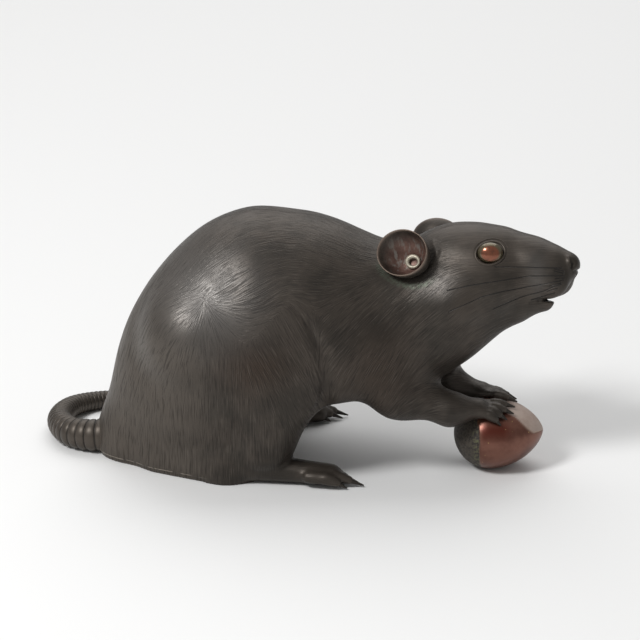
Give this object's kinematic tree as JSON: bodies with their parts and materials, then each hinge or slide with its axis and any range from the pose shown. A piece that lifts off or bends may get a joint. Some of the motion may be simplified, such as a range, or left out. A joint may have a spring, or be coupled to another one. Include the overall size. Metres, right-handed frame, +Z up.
{
  "type": "okimono",
  "caption": "cast bronze rat crouching on its haunches with both forepaws on a copper-red chestnut, inlaid eyes, set-in ears and a ringed tail",
  "frame": {"origin": "on the ground plane, under the middle of the whole ornament", "axes": "X from rump to nose (the rat faces +X), Y to the rat's left side, Z up"},
  "size_m": [0.1896, 0.0866, 0.0923],
  "materials": {
    "dark_bronze": "dark brown-black patina over engraved hair, satin",
    "ear_copper": "dark red-brown patina, satin",
    "eye_copper": "polished red copper in an olive grey ring",
    "nut_copper": "polished red copper with a rough dark base"
  },
  "bodies": {
    "root": {"rat_body": "dark_bronze", "tail": "dark_bronze", "ear_right": "ear_copper", "ear_left": "ear_copper", "eye_right": "eye_copper", "eye_left": "eye_copper", "chestnut": "nut_copper"}
  },
  "joints": []
}
